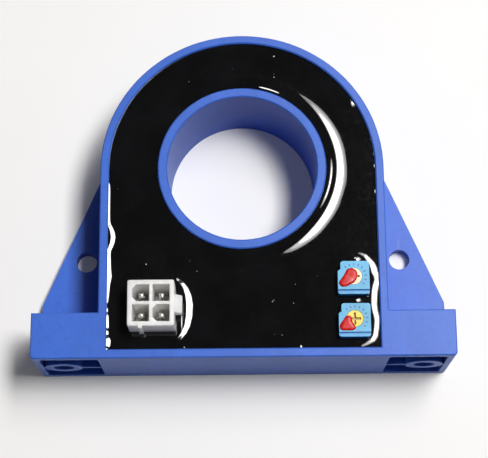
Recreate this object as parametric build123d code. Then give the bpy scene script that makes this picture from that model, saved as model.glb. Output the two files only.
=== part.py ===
from build123d import *
import os
from math import acos, atan2, cos, hypot, sin

# Hall effect current sensor: a blue moulded cup with a round opening for the conductor, potted in black epoxy.
# It lies on its back. Origin: bore axis on the back face. +Z runs along the bore to the potted face,
# +X to the right, +Y from the feet to the arch. Millimetres.

# Housing: bore, arch and walls
BORE_R = 16.0            # opening for the conductor
BORE_WALL = 2.0          # wall of the bore tube
CHANNEL = 10.4           # bore tube to arch wall
WALL = 1.8               # arch wall and side walls
FRONT_WALL = 1.9         # wall between the feet
FLOOR = 2.0              # closed back
DEPTH = 20.5             # back face to rim
FRONT_DROP = 10.9        # how far the front face lies beyond the arch's circle
RIM_EDGE = 0.25          # broken edges of the rims

# Housing: feet
FOOT_LENGTH = 13.9       # side wall to the outside of a foot
FOOT_HEIGHT = 9.7
FOOT_WALL = 1.7
FOOT_ROOF = 2.2
FOOT_CORNER = 0.8        # rounded corners, outside and in the pocket
BOSS_D = 8.0
BOSS_EDGE = 5.9          # outside of a foot to the boss axis
FOOT_HOLE_D = 4.3
RIB_T = 0.8

# Housing: wings
WING_T = 3.0
WING_END = 5.4           # short straight end above the foot
WING_TIP_ROUND = 1.5
WING_HOLE_D = 4.5
WING_HOLE_OUT = 4.4      # side wall to the hole's axis
WING_HOLE_UP = 15.2      # top of the foot to the hole's axis

# Housing: ledges inside, which carry the circuit board
LEDGE_DEPTH = 1.7
LEDGE_WIDTH = 2.4
LEDGE_INSET = 1.6        # edge of the board to the edge of a ledge

# Potting
POT_DROP = 0.5           # rim to the surface of the epoxy

# Magnetic core: gapped toroid
CORE_CLEARANCE = 0.8     # bore tube to core
CORE_WIDTH = 7.2
CORE_HEIGHT = 12.0
CORE_GAP = 3.0

# Hall chip in the gap
CHIP_T = 1.5
CHIP_WIDTH = 4.0
CHIP_HEIGHT = 4.4
LEAD_T = 0.4
LEAD_PITCH = 1.27
LEAD_COUNT = 3
LEAD_STEP = 1.6          # spacing of the leads' holes in the board

# Circuit board
BOARD_T = 1.6
BOARD_GAP = 0.4          # board to walls
BOARD_CLEARANCE = 0.9    # board to core
BOARD_MARGIN = 1.4       # upper trimmer to the board's edge
LEAD_STICKOUT = 1.2      # leads and pins under the board

# Header: white 2 x 2 shell with square pins
HEADER = 9.6
HEADER_HEIGHT = 12.8
HEADER_PROUD = 5.6       # above the rim
HEADER_SIDE = 4.7        # to the inner side wall
HEADER_FRONT = 3.7       # to the inner front wall
HEADER_FLOOR = 2.5
HEADER_ROUND = 0.4
CELL = 3.5
CELL_PITCH = 4.2
CELL_CHAMFER = 0.9
PIN = 1.07
PIN_SETBACK = 2.4        # mouth to pin tips
PIN_TAPER = 0.3
RAMP_WIDTH = 3.8
RAMP_OUT = 1.55
RAMP_HEIGHT = 3.2
RAMP_LIP = 0.5           # mouth to the start of the ramp
KEY_WIDTH = 0.9
KEY_OUT = 0.5
KEY_X = -2.2

# Trimmers
TRIMMER_X = 6.6
TRIMMER_Y = 7.0
TRIMMER_HEIGHT = 4.9
TRIMMER_PROUD = 1.3      # above the rim
TRIMMER_SIDE = 2.1       # to the inner side wall
TRIMMER_FRONT = 1.95     # to the inner front wall
TRIMMER_PITCH = 9.0
TRIMMER_ROOF = 0.7
TRIMMER_BASE = 1.2
STEP_INSET = 0.6         # the case's narrower corner
STEP_LENGTH = 1.8
STRIP = 0.6              # low strip along the front edge of the case
STRIP_DROP = 0.2
GROOVE = 0.35
GROOVE_DEPTH = 0.5
ROTOR_UP = 0.25          # case centre to rotor axis
ROTOR_R = 1.75
ROTOR_FIT = 0.05         # running clearance
FLANGE_R = 2.25
FLANGE_T = 0.8
CAVITY_R = 2.75
STOP_ANGLE = 50.0        # stop in the case
LUG_ANGLE = 40.0         # lug on the rotor that meets it
SLOT_WIDTH = 0.45
SLOT_LENGTH = 2.5
SLOT_DEPTH = 0.7
PIVOT_R = 0.6
PIVOT_DEPTH = 0.6        # into the base
TRACK_INNER = 1.3
TRACK_OUTER = 2.3
TRACK_T = 0.1
TRACK_GAP_ANGLE = 70.0
WIPER_T = 0.15
WIPER_R = 1.8            # contact radius
WIPER_WIDTH = 0.5
TRIMMER_PIN = 0.5        # square
TRIMMER_PIN_DEPTH = 0.8  # into the base
TRIMMER_PINS = ((-2.1, -1.1), (0.0, 1.9), (2.1, -1.1))

# Seal lacquer, an oval dab on each trimmer: centre from the rotor axis, half length, half width, turn
LACQUER_T = 0.18
LACQUER_GAP = 0.05       # crack between the dab on the case and the dab on the rotor
ZERO_DAB = (-1.05, -0.4, 2.3, 1.25, 53.0)
SPAN_DAB = (-1.55, -1.1, 2.15, 1.2, 55.0)

# Small parts on the board: x from the bore axis, y from the board's front edge
CAN_D = 5.0
CAN_HEIGHT = 5.2
CAN_BASE = 0.8
CAN_PLACES = ((-8.6, 3.6), (-2.4, 3.6))
CHIP_BODY = (5.0, 4.0, 1.4)
CHIP_PLACE = (5.6, 4.6)
FOOT_LEAD = (0.4, 1.0, 0.25)
CHIP_LEAD_PITCH = 1.27
CHIP_LEADS = 4
REGULATOR_BODY = (4.5, 2.5, 1.5)
REGULATOR_PLACE = (13.2, 3.0)
DIODE_BODY = (4.2, 2.6, 2.2)
DIODE_PLACES = ((-9.6, 8.7), (-4.3, 8.7))
SMALL_BODY = (2.0, 1.25, 0.55)
RESISTOR_PLACES = ((11.6, 6.6), (14.6, 6.6), (11.6, 8.4))
SMALL_CAP_PLACES = ((14.6, 8.4), (5.6, 8.9))

# Worked out from the sizes above
TUBE_R = BORE_R + BORE_WALL
INNER_R = TUBE_R + CHANNEL
ARCH_R = INNER_R + WALL
FRONT_Y = -ARCH_R - FRONT_DROP
INNER_FRONT_Y = FRONT_Y + FRONT_WALL
FOOT_X = ARCH_R + FOOT_LENGTH
FOOT_TOP_Y = FRONT_Y + FOOT_HEIGHT
BOSS_X = FOOT_X - BOSS_EDGE
WING_HOLE_X = ARCH_R + WING_HOLE_OUT
WING_HOLE_Y = FOOT_TOP_Y + WING_HOLE_UP
POT_Z = DEPTH - POT_DROP
HEADER_TOP = DEPTH + HEADER_PROUD
BOARD_TOP = HEADER_TOP - HEADER_HEIGHT
BOARD_BOTTOM = BOARD_TOP - BOARD_T
HEADER_X = -INNER_R + HEADER_SIDE + HEADER / 2
HEADER_Y = INNER_FRONT_Y + HEADER_FRONT + HEADER / 2
TRIMMER_CX = INNER_R - TRIMMER_SIDE - TRIMMER_X / 2
SPAN_Y = INNER_FRONT_Y + TRIMMER_FRONT + TRIMMER_Y / 2
ZERO_Y = SPAN_Y + TRIMMER_PITCH
TRIMMER_TOP = DEPTH + TRIMMER_PROUD
TRIMMER_FOOT = TRIMMER_TOP - TRIMMER_HEIGHT
CORE_INNER = TUBE_R + CORE_CLEARANCE
CORE_OUTER = CORE_INNER + CORE_WIDTH
CORE_TOP = FLOOR + CORE_HEIGHT
BOARD_X = INNER_R - BOARD_GAP
BOARD_FRONT = INNER_FRONT_Y + BOARD_GAP
BOARD_BACK = ZERO_Y + TRIMMER_Y / 2 + BOARD_MARGIN
BOARD_ARC = CORE_OUTER + BOARD_CLEARANCE
HALL_Y = -(CORE_INNER + CORE_OUTER) / 2
HALL_Z = FLOOR + CORE_HEIGHT / 2
CELL_CENTRES = [(i * CELL_PITCH / 2, j * CELL_PITCH / 2) for j in (1, -1) for i in (-1, 1)]
RIGHT_LEFT = (1, -1)


def block(x0, x1, y0, y1, z0, z1):
    """Box between two corners."""
    centre = Pos((x0 + x1) / 2, (y0 + y1) / 2, (z0 + z1) / 2)
    return centre * Box(abs(x1 - x0), abs(y1 - y0), abs(z1 - z0))


def slab(face, z0, z1):
    """Flat outline made solid between two heights."""
    return Pos(0, 0, z0) * extrude(face, z1 - z0)


def rod(x, y, radius, z0, z1):
    """Round bar along Z."""
    return slab(Pos(x, y) * Circle(radius), z0, z1)


def centred(x, y, size, z0):
    """Box of a given size that stands on the height z0."""
    return block(x - size[0] / 2, x + size[0] / 2, y - size[1] / 2, y + size[1] / 2, z0, z0 + size[2])


def sector(inner, outer, middle, width, z0, z1):
    """Part of a ring, centred on one direction, in degrees."""
    arcs = [CenterArc((0, 0), radius, middle - width / 2, width) for radius in (inner, outer)]
    ends = [Line(arcs[0] @ t, arcs[1] @ t) for t in (0, 1)]
    return slab(make_face([*arcs, *ends]), z0, z1)


def tombstone(radius, front_y):
    """Outline of the body: a half circle, two straight sides and the front."""
    arch = ThreePointArc((radius, 0), (0, radius), (-radius, 0))
    sides = Polyline((-radius, 0), (-radius, front_y), (radius, front_y), (radius, 0))
    return make_face(arch.edges() + sides.edges())


# Housing
def wing(side):
    """One wing plate. Its slanted edge leaves the arch as a tangent and ends above the foot."""
    end_y = FOOT_TOP_Y + WING_END
    turn = atan2(end_y, FOOT_X) + acos(ARCH_R / hypot(FOOT_X, end_y))
    tangent = (side * ARCH_R * cos(turn), ARCH_R * sin(turn))
    tip = (side * FOOT_X, end_y)
    outline = Polyline((0, 0), tangent, tip, (side * FOOT_X, FOOT_TOP_Y), (0, FOOT_TOP_Y), close=True)
    plate = slab(make_face(outline), 0, WING_T)
    edge = plate.edges().filter_by(Axis.Z).sort_by_distance((*tip, WING_T / 2))[0]
    return fillet(edge, WING_TIP_ROUND) - rod(side * WING_HOLE_X, WING_HOLE_Y, WING_HOLE_D / 2, 0, WING_T)


def foot(side):
    """One foot, cored out from below, with its screw boss on a rib."""
    top_z = DEPTH - FOOT_WALL
    solid = block(side * (ARCH_R - WALL / 2), side * FOOT_X, FRONT_Y, FOOT_TOP_Y, 0, DEPTH)
    outer = solid.edges().filter_by(Axis.Z).group_by(SortBy.DISTANCE)[-1]
    solid = fillet(outer.sort_by(Axis.X, reverse=side > 0)[0:2], FOOT_CORNER)
    pocket_x = FOOT_X - FOOT_WALL
    pocket = block(side * ARCH_R, side * pocket_x, FRONT_Y, FOOT_TOP_Y - FOOT_ROOF, FOOT_WALL, top_z)
    pocket = fillet(pocket.edges().filter_by(Axis.Y), FOOT_CORNER)
    rib = block(side * ARCH_R, side * pocket_x, FRONT_Y, FOOT_TOP_Y, (DEPTH - RIB_T) / 2, (DEPTH + RIB_T) / 2)
    return solid - pocket + (rib & pocket) + foot_bar(side, BOSS_D) - foot_bar(side, FOOT_HOLE_D)


def foot_bar(side, diameter):
    """Round bar through a foot, on the screw's axis."""
    length = FOOT_TOP_Y - FRONT_Y
    return Pos(side * BOSS_X, FRONT_Y + length / 2, DEPTH / 2) * Rot(90, 0, 0) * Cylinder(diameter / 2, length)


def ledges():
    """Four ledges on the inside of the side walls, up to the board."""
    starts = (BOARD_FRONT + LEDGE_INSET, BOARD_BACK - LEDGE_INSET - LEDGE_WIDTH)
    inner = INNER_R - LEDGE_DEPTH
    outer = INNER_R + WALL / 2
    return [
        block(side * inner, side * outer, y, y + LEDGE_WIDTH, FLOOR / 2, BOARD_BOTTOM)
        for side in RIGHT_LEFT
        for y in starts
    ]


def housing():
    body = slab(tombstone(ARCH_R, FRONT_Y), 0, DEPTH)
    cavity = slab(tombstone(INNER_R, INNER_FRONT_Y), FLOOR, DEPTH)
    shell = body + [foot(side) for side in RIGHT_LEFT] + [wing(side) for side in RIGHT_LEFT]
    shell = shell - cavity + rod(0, 0, TUBE_R, 0, DEPTH) - rod(0, 0, BORE_R, 0, DEPTH) + ledges()
    rims = shell.edges().filter_by_position(Axis.Z, DEPTH, DEPTH)
    return chamfer(rims, RIM_EDGE)


# Core and Hall chip
def magnetic_core():
    ring = slab(Circle(CORE_OUTER) - Circle(CORE_INNER), FLOOR, CORE_TOP)
    gap = block(-CORE_GAP / 2, CORE_GAP / 2, -2 * CORE_OUTER, 0, FLOOR, CORE_TOP)
    return ring - gap


def hall_chip():
    half = CHIP_WIDTH / 2
    return block(-CHIP_T / 2, CHIP_T / 2, HALL_Y - half, HALL_Y + half, HALL_Z - CHIP_HEIGHT / 2, HALL_Z + CHIP_HEIGHT / 2)


def hall_leads():
    """Three leads that leave the chip towards the front and rise through the board."""
    start = HALL_Y - CHIP_WIDTH / 2
    leads = []
    for i in range(LEAD_COUNT):
        z = HALL_Z + (i - (LEAD_COUNT - 1) / 2) * LEAD_PITCH
        y = -BOARD_ARC - (LEAD_COUNT - i) * LEAD_STEP
        along = block(-LEAD_T / 2, LEAD_T / 2, y - LEAD_T / 2, start, z - LEAD_T / 2, z + LEAD_T / 2)
        leads.append(along + centred(0, y, (LEAD_T, LEAD_T, BOARD_TOP - z), z))
    return leads


# Header
def header_outline():
    box = Pos(HEADER_X, HEADER_Y) * Rectangle(HEADER, HEADER)
    return fillet(box.vertices(), HEADER_ROUND)


def cell(x, y, chamfered):
    """Outline of one cell. Two of the four have cut corners on the side away from the lock ramp."""
    outline = Rectangle(CELL, CELL)
    if chamfered:
        outline = chamfer(outline.vertices().sort_by(Axis.X)[0:2], CELL_CHAMFER)
    return Pos(HEADER_X + x, HEADER_Y + y) * outline


def lock_ramp():
    """Wedge on the side of the shell that a plug's latch snaps over."""
    face = HEADER_X + HEADER / 2
    top = HEADER_TOP - RAMP_LIP
    under = top - RAMP_HEIGHT
    start = HEADER_X
    side = Polyline((start, top), (face, top), (face + RAMP_OUT, (top + under) / 2), (face + RAMP_OUT, under),
                    (start, under), close=True)
    profile = Plane.XZ.offset(-HEADER_Y - RAMP_WIDTH / 2) * make_face(side)
    return extrude(profile, RAMP_WIDTH)


def key_rib():
    face = HEADER_Y - HEADER / 2
    x = HEADER_X + KEY_X
    return block(x - KEY_WIDTH / 2, x + KEY_WIDTH / 2, face - KEY_OUT, HEADER_Y, BOARD_TOP, HEADER_TOP)


def header_envelope():
    return slab(header_outline(), BOARD_TOP, HEADER_TOP) + lock_ramp() + key_rib()


def header_shell():
    shell = header_envelope()
    for number, (x, y) in enumerate(CELL_CENTRES):
        shell -= slab(cell(x, y, number in (0, 3)), BOARD_TOP + HEADER_FLOOR, HEADER_TOP)
    return shell - header_pins()


def header_pins():
    """Four square pins with tapered tips."""
    bottom = BOARD_BOTTOM - LEAD_STICKOUT
    top = HEADER_TOP - PIN_SETBACK
    pins = []
    for x, y in CELL_CENTRES:
        pin = centred(HEADER_X + x, HEADER_Y + y, (PIN, PIN, top - bottom), bottom)
        pins.append(chamfer(pin.faces().sort_by(Axis.Z)[-1].edges(), PIN_TAPER))
    return pins


# Trimmers, each built about its own rotor axis and then moved to its place
def trimmer_outline():
    """Case seen from above: a square with one narrower corner, off centre from the rotor."""
    right = TRIMMER_X / 2
    back = TRIMMER_Y / 2 - ROTOR_UP
    front = -TRIMMER_Y / 2 - ROTOR_UP
    points = ((right, front), (right, back), (STEP_INSET - right, back), (STEP_INSET - right, back - STEP_LENGTH),
              (-right, back - STEP_LENGTH), (-right, front))
    return make_face(Polyline(*points, close=True))


def trimmer_place(y):
    return Pos(TRIMMER_CX, y + ROTOR_UP, 0)


def trimmer_case():
    front = -TRIMMER_Y / 2 - ROTOR_UP
    half = TRIMMER_X / 2
    under_roof = TRIMMER_TOP - TRIMMER_ROOF
    case = slab(trimmer_outline(), TRIMMER_FOOT, TRIMMER_TOP)
    case -= block(-half, half, front, front + STRIP, TRIMMER_TOP - STRIP_DROP, TRIMMER_TOP)
    case -= block(-half, half, front + STRIP, front + STRIP + GROOVE, TRIMMER_TOP - GROOVE_DEPTH, TRIMMER_TOP)
    stop = sector(FLANGE_R + ROTOR_FIT, CAVITY_R, -90, STOP_ANGLE, under_roof - FLANGE_T, under_roof)
    case -= rod(0, 0, CAVITY_R, TRIMMER_FOOT, under_roof) - stop
    return case - rod(0, 0, ROTOR_R + ROTOR_FIT, under_roof, TRIMMER_TOP)


def trimmer_pins():
    bottom = BOARD_BOTTOM - LEAD_STICKOUT
    top = TRIMMER_FOOT + TRIMMER_PIN_DEPTH
    return [centred(x, y, (TRIMMER_PIN, TRIMMER_PIN, top - bottom), bottom) for x, y in TRIMMER_PINS]


def trimmer_base():
    base = rod(0, 0, CAVITY_R, TRIMMER_FOOT, TRIMMER_FOOT + TRIMMER_BASE)
    top = TRIMMER_FOOT + TRIMMER_BASE
    pivot = rod(0, 0, PIVOT_R + ROTOR_FIT, top - PIVOT_DEPTH - ROTOR_FIT, top)
    return base - pivot - trimmer_pins()


def trimmer_track():
    top = TRIMMER_FOOT + TRIMMER_BASE
    return sector(TRACK_INNER, TRACK_OUTER, 90, 360 - TRACK_GAP_ANGLE, top, top + TRACK_T)


def trimmer_rotor():
    """Head with the cross slot, flange with the stop lug, and the pivot that turns in the base."""
    under_roof = TRIMMER_TOP - TRIMMER_ROOF - ROTOR_FIT
    flange_foot = under_roof - FLANGE_T
    rotor = rod(0, 0, ROTOR_R, under_roof, TRIMMER_TOP) + rod(0, 0, FLANGE_R, flange_foot, under_roof)
    rotor += rod(0, 0, PIVOT_R, TRIMMER_FOOT + TRIMMER_BASE - PIVOT_DEPTH, flange_foot)
    rotor += sector(PIVOT_R, CAVITY_R - ROTOR_FIT, 90, LUG_ANGLE, flange_foot, under_roof)
    for size in ((SLOT_LENGTH, SLOT_WIDTH), (SLOT_WIDTH, SLOT_LENGTH)):
        rotor -= centred(0, 0, (*size, SLOT_DEPTH), TRIMMER_TOP - SLOT_DEPTH)
    return rotor


def trimmer_wiper():
    """Spring washer on the pivot, with a finger that reaches down to the track."""
    top = TRIMMER_TOP - TRIMMER_ROOF - ROTOR_FIT - FLANGE_T
    washer = rod(0, 0, WIPER_R + WIPER_WIDTH / 2, top - WIPER_T, top) - rod(0, 0, PIVOT_R, top - WIPER_T, top)
    track_top = TRIMMER_FOOT + TRIMMER_BASE + TRACK_T
    finger = centred(0, WIPER_R, (WIPER_WIDTH, WIPER_T, top - track_top - ROTOR_FIT), track_top + ROTOR_FIT)
    return washer + finger


def dab(shape):
    x, y, half_length, half_width, turn = shape
    return Pos(x, y) * Rot(0, 0, turn) * Ellipse(half_length, half_width)


def case_lacquer(shape):
    front = -TRIMMER_Y / 2 - ROTOR_UP + STRIP + GROOVE
    top_face = trimmer_outline() - Pos(0, front - TRIMMER_Y / 2) * Rectangle(2 * TRIMMER_X, TRIMMER_Y)
    hole = Circle(ROTOR_R + ROTOR_FIT + LACQUER_GAP)
    return slab((dab(shape) & top_face) - hole, TRIMMER_TOP, TRIMMER_TOP + LACQUER_T)


def rotor_lacquer(shape):
    return slab(dab(shape) & Circle(ROTOR_R - LACQUER_GAP), TRIMMER_TOP, TRIMMER_TOP + LACQUER_T)


def trimmer(name, y, shape):
    """All pieces of one trimmer, in their places."""
    pieces = {
        "case": trimmer_case(),
        "base": trimmer_base(),
        "track": trimmer_track(),
        "rotor": trimmer_rotor(),
        "wiper": trimmer_wiper(),
        "pins": trimmer_pins(),
        "case_lacquer": case_lacquer(shape),
        "rotor_lacquer": rotor_lacquer(shape),
    }
    return {f"{name}_{piece}": moved(solid, trimmer_place(y)) for piece, solid in pieces.items()}


def moved(solid, place):
    """Move one solid, or each solid of a list."""
    if isinstance(solid, list):
        return [place * each for each in solid]
    return place * solid


# Circuit board and what it carries
def circuit_board():
    blank = block(-BOARD_X, BOARD_X, BOARD_FRONT, BOARD_BACK, BOARD_BOTTOM, BOARD_TOP)
    board = blank - rod(0, 0, BOARD_ARC, BOARD_BOTTOM, BOARD_TOP)
    leads = header_pins() + hall_leads()
    for y in (ZERO_Y, SPAN_Y):
        leads += moved(trimmer_pins(), trimmer_place(y))
    return board - leads


def on_board(place, size):
    x, y = place
    return centred(x, BOARD_FRONT + y, size, BOARD_TOP)


def can_capacitor(place):
    """Round can on a square base with two cut corners."""
    x, y = place
    base = chamfer(Rectangle(CAN_D, CAN_D).vertices().sort_by(Axis.X)[0:2], CAN_D / 5)
    foot_plate = slab(Pos(x, BOARD_FRONT + y) * base, BOARD_TOP, BOARD_TOP + CAN_BASE)
    return foot_plate + rod(x, BOARD_FRONT + y, CAN_D / 2, BOARD_TOP + CAN_BASE, BOARD_TOP + CAN_HEIGHT)


def amplifier_chip():
    """Eight-lead chip: the body with four flat leads on each side."""
    x, y = CHIP_PLACE
    chip = on_board(CHIP_PLACE, CHIP_BODY)
    reach = (CHIP_BODY[1] + FOOT_LEAD[1]) / 2
    for i in range(CHIP_LEADS):
        lead_x = x + (i - (CHIP_LEADS - 1) / 2) * CHIP_LEAD_PITCH
        chip += [on_board((lead_x, y + side * reach), FOOT_LEAD) for side in RIGHT_LEFT]
    return chip


def voltage_regulator():
    x, y = REGULATOR_PLACE
    reach = (REGULATOR_BODY[1] + FOOT_LEAD[1]) / 2
    legs = [on_board((x + i * CHIP_LEAD_PITCH, y - reach), FOOT_LEAD) for i in (-1, 0, 1)]
    return on_board(REGULATOR_PLACE, REGULATOR_BODY) + legs


def small_parts():
    """The other parts on the board, by name."""
    parts = {f"can_capacitor_{n}": can_capacitor(place) for n, place in enumerate(CAN_PLACES, 1)}
    parts |= {f"diode_{n}": on_board(place, DIODE_BODY) for n, place in enumerate(DIODE_PLACES, 1)}
    parts["amplifier_chip"] = amplifier_chip()
    parts["voltage_regulator"] = voltage_regulator()
    parts["chip_resistors"] = [on_board(place, SMALL_BODY) for place in RESISTOR_PLACES]
    parts["chip_capacitors"] = [on_board(place, SMALL_BODY) for place in SMALL_CAP_PLACES]
    return parts


# Potting
def potting(inside):
    """Epoxy that fills the cup round all that it holds."""
    fill = slab(tombstone(INNER_R, INNER_FRONT_Y), FLOOR, POT_Z) - rod(0, 0, TUBE_R, FLOOR, POT_Z) - ledges()
    return fill - inside


def assemble():
    parts = {
        "magnetic_core": magnetic_core(),
        "hall_chip": hall_chip(),
        "hall_chip_leads": hall_leads(),
        "circuit_board": circuit_board(),
    }
    parts |= small_parts()
    parts |= {f"header_pin_{n}": pin for n, pin in enumerate(header_pins(), 1)}
    trimmers = [slab(moved(trimmer_outline(), trimmer_place(y)), TRIMMER_FOOT, TRIMMER_TOP) for y in (ZERO_Y, SPAN_Y)]
    for y in (ZERO_Y, SPAN_Y):
        trimmers += moved(trimmer_pins(), trimmer_place(y))
    solids = [header_envelope()] + trimmers
    for part in parts.values():
        solids += part if isinstance(part, list) else [part]
    parts["potting_compound"] = potting(solids)
    parts["header_shell"] = header_shell()
    parts |= trimmer("zero_trimmer", ZERO_Y, ZERO_DAB)
    parts |= trimmer("span_trimmer", SPAN_Y, SPAN_DAB)
    parts["housing"] = housing()
    return parts


os.makedirs("parts", exist_ok=True)
for node, part in assemble().items():
    solid = Compound(children=part) if isinstance(part, list) else part
    export_step(solid, f"parts/{node}.step")
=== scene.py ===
"""Looks of a Hall effect current sensor: blue moulded cup, glossy black epoxy, white header and two trimmers."""
from collections import Counter
from itertools import combinations
from math import ceil, cos, pi, radians, sin

import bmesh
import bpy
import numpy as np
from bpy.props import FloatProperty, FloatVectorProperty, IntProperty, PointerProperty
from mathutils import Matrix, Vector
from mathutils.geometry import delaunay_2d_cdt


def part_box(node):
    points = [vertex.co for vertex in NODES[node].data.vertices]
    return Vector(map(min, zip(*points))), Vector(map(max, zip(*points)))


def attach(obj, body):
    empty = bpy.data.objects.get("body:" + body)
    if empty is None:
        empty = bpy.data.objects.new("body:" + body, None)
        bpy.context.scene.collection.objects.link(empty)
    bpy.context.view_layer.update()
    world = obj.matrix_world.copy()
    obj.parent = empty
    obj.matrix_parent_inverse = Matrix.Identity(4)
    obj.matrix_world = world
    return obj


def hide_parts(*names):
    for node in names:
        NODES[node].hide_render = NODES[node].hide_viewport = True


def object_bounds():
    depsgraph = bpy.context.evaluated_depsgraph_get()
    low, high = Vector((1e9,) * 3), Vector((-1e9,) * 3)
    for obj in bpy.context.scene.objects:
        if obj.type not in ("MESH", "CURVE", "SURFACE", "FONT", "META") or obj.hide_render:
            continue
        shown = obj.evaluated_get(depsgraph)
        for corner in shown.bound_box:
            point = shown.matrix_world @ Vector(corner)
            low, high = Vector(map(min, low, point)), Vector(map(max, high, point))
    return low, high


bl_info = {
    "name": "Hall effect current sensor",
    "version": (1, 0, 0),
    "blender": (4, 5, 0),
    "location": "3D View > Sidebar > Current Sensor",
    "description": "Finishes and fine shapes of a potted current sensor, built round its CAD model",
    "category": "Object",
}

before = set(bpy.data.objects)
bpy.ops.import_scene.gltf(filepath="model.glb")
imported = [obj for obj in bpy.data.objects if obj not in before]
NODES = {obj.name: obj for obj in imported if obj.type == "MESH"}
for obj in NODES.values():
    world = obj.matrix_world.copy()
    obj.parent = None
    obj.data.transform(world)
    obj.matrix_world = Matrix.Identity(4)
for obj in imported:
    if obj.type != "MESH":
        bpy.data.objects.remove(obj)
CAD_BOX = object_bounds()
MM = 0.001
MERGE = 1e-6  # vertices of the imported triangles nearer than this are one
SAME_LEVEL = 10 * MERGE  # corners nearer in height than this are level
TOUCHING = 1e-6  # points of a triangulation nearer than this, in millimetres, are one
FLAT = radians(0.6)  # triangles that meet flatter than this are one face
SHARP = radians(30)  # edges that turn by more than this are rounded
CORNER = radians(60)  # upright edges that turn by more than this are corners
CORNER_HEIGHT = 1.5 * MM  # if they are longer than this
UPRIGHT = 0.99  # share of height in the length of an upright edge
ROW = 0.866  # distance of the rows in a triangular grid, in steps
CHUNK = 4000  # points compared at a time, to save memory
TRIMMERS = ("zero", "span")


# Meshes

def merged(node):
    """The triangles of a CAD node as one closed mesh with whole flat faces."""
    bm = bmesh.new()
    bm.from_mesh(NODES[node].data)
    bmesh.ops.remove_doubles(bm, verts=bm.verts, dist=MERGE)
    bmesh.ops.dissolve_limit(bm, angle_limit=FLAT, verts=bm.verts, edges=bm.edges)
    bmesh.ops.recalc_face_normals(bm, faces=bm.faces)
    return bm


def mesh_of(bm, name):
    """The mesh under construction as a finished one."""
    mesh = bpy.data.meshes.new(name)
    bm.to_mesh(mesh)
    bm.free()
    return mesh


def new_piece(name, mesh):
    """An object of the scene."""
    piece = bpy.data.objects.new(name, mesh)
    bpy.context.scene.collection.objects.link(piece)
    return piece


def apply_modifiers(piece):
    """Make the piece's modifiers real, as a plain mesh at the origin."""
    bpy.context.view_layer.update()
    evaluated = piece.evaluated_get(bpy.context.evaluated_depsgraph_get())
    mesh = bpy.data.meshes.new_from_object(evaluated)
    mesh.name = piece.name
    piece.modifiers.clear()
    piece.data = mesh


def paint(piece, finish):
    """Give the piece one material in place of any others."""
    piece.data.materials.clear()
    piece.data.materials.append(finish.material)


def place_on(piece, body, slot, *nodes):
    """Attach the piece to the empty of the body it moves with and hide the CAD nodes it stands for; the slot, what it
    is made of, is not used.
    """
    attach(piece, body)
    if nodes:
        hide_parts(*nodes)


def upright_corners(bm):
    """The convex upright edges where two wide walls meet."""
    return [e for e in bm.edges if e.is_manifold and e.is_convex and e.calc_face_angle() > CORNER
            and e.calc_length() > CORNER_HEIGHT and all(abs(f.normal.z) < 1 - UPRIGHT for f in e.link_faces)
            and abs((e.verts[0].co - e.verts[1].co).normalized().z) > UPRIGHT]


def rounded_copy(node, body, slot, width, finish, corners=0.0):
    """Copy of a CAD node with its sharp edges rounded, and its upright corners more if a radius is given."""
    bm = merged(node)
    if corners:
        bmesh.ops.bevel(
            bm, geom=upright_corners(bm), offset=corners, segments=4, profile=0.5, affect="EDGES", clamp_overlap=True)
    mesh = mesh_of(bm, node + "_finish")
    mesh.shade_smooth()
    piece = new_piece(mesh.name, mesh)
    bevel = piece.modifiers.new("Rounded edges", "BEVEL")
    bevel.width = width
    bevel.segments = 2
    bevel.limit_method = "ANGLE"
    bevel.angle_limit = SHARP
    bevel.use_clamp_overlap = True
    flat = piece.modifiers.new("Flat faces stay flat", "WEIGHTED_NORMAL")
    flat.mode = "FACE_AREA"
    flat.weight = 60
    apply_modifiers(piece)
    paint(piece, finish)
    place_on(piece, body, slot, node)


def closed_segments(loop):
    """The segments between the corners of a closed outline."""
    return np.stack([loop, np.roll(loop, -1, 0)], 1)


def chunks(points):
    """Slices that divide a long row of points."""
    return [slice(start, start + CHUNK) for start in range(0, len(points), CHUNK)]


def inside(points, segments):
    """Which points lie inside the outline that the segments make, by counting crossings."""
    result = np.zeros(len(points), bool)
    x0, y0, x1, y1 = segments[:, 0, 0], segments[:, 0, 1], segments[:, 1, 0], segments[:, 1, 1]
    for part in chunks(points):
        x, y = points[part, 0, None], points[part, 1, None]
        spans = (y0 > y) != (y1 > y)
        with np.errstate(divide="ignore", invalid="ignore"):
            cross = x0 + (y - y0) * (x1 - x0) / (y1 - y0)
        result[part] = (spans & (x < cross)).sum(1) % 2 == 1
    return result


def distance(points, segments):
    """Distance from each point to the nearest segment."""
    result = np.empty(len(points))
    a, step = segments[:, 0], segments[:, 1] - segments[:, 0]
    length = np.maximum((step ** 2).sum(1), 1e-12)
    for part in chunks(points):
        start = points[part, None]
        t = np.clip(((start - a) * step).sum(2) / length, 0, 1)
        result[part] = np.sqrt(((start - a - t[..., None] * step) ** 2).sum(2).min(1))
    return result


def hex_grid(low, high, step):
    """Points of a triangular grid over a box."""
    rows = np.arange(low[1], high[1], step * ROW)
    columns = np.arange(low[0], high[0], step)
    x, y = np.meshgrid(columns, rows)
    x[1::2] += step / 2
    return np.c_[x.ravel(), y.ravel()]


def open_top(node, step):
    """A node without its top face, the rim of the opening divided into short edges, and the height of the rim."""
    bm = merged(node)
    top = max(v.co.z for v in bm.verts)
    faces = [f for f in bm.faces if all(top - v.co.z < SAME_LEVEL for v in f.verts)]
    bmesh.ops.delete(bm, geom=faces, context="FACES")
    for edge in [e for e in bm.edges if e.is_boundary]:
        cuts = ceil(edge.calc_length() / MM / step) - 1
        if cuts > 0:
            bmesh.ops.subdivide_edges(bm, edges=[edge], cuts=cuts)
    return bm, top / MM


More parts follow.
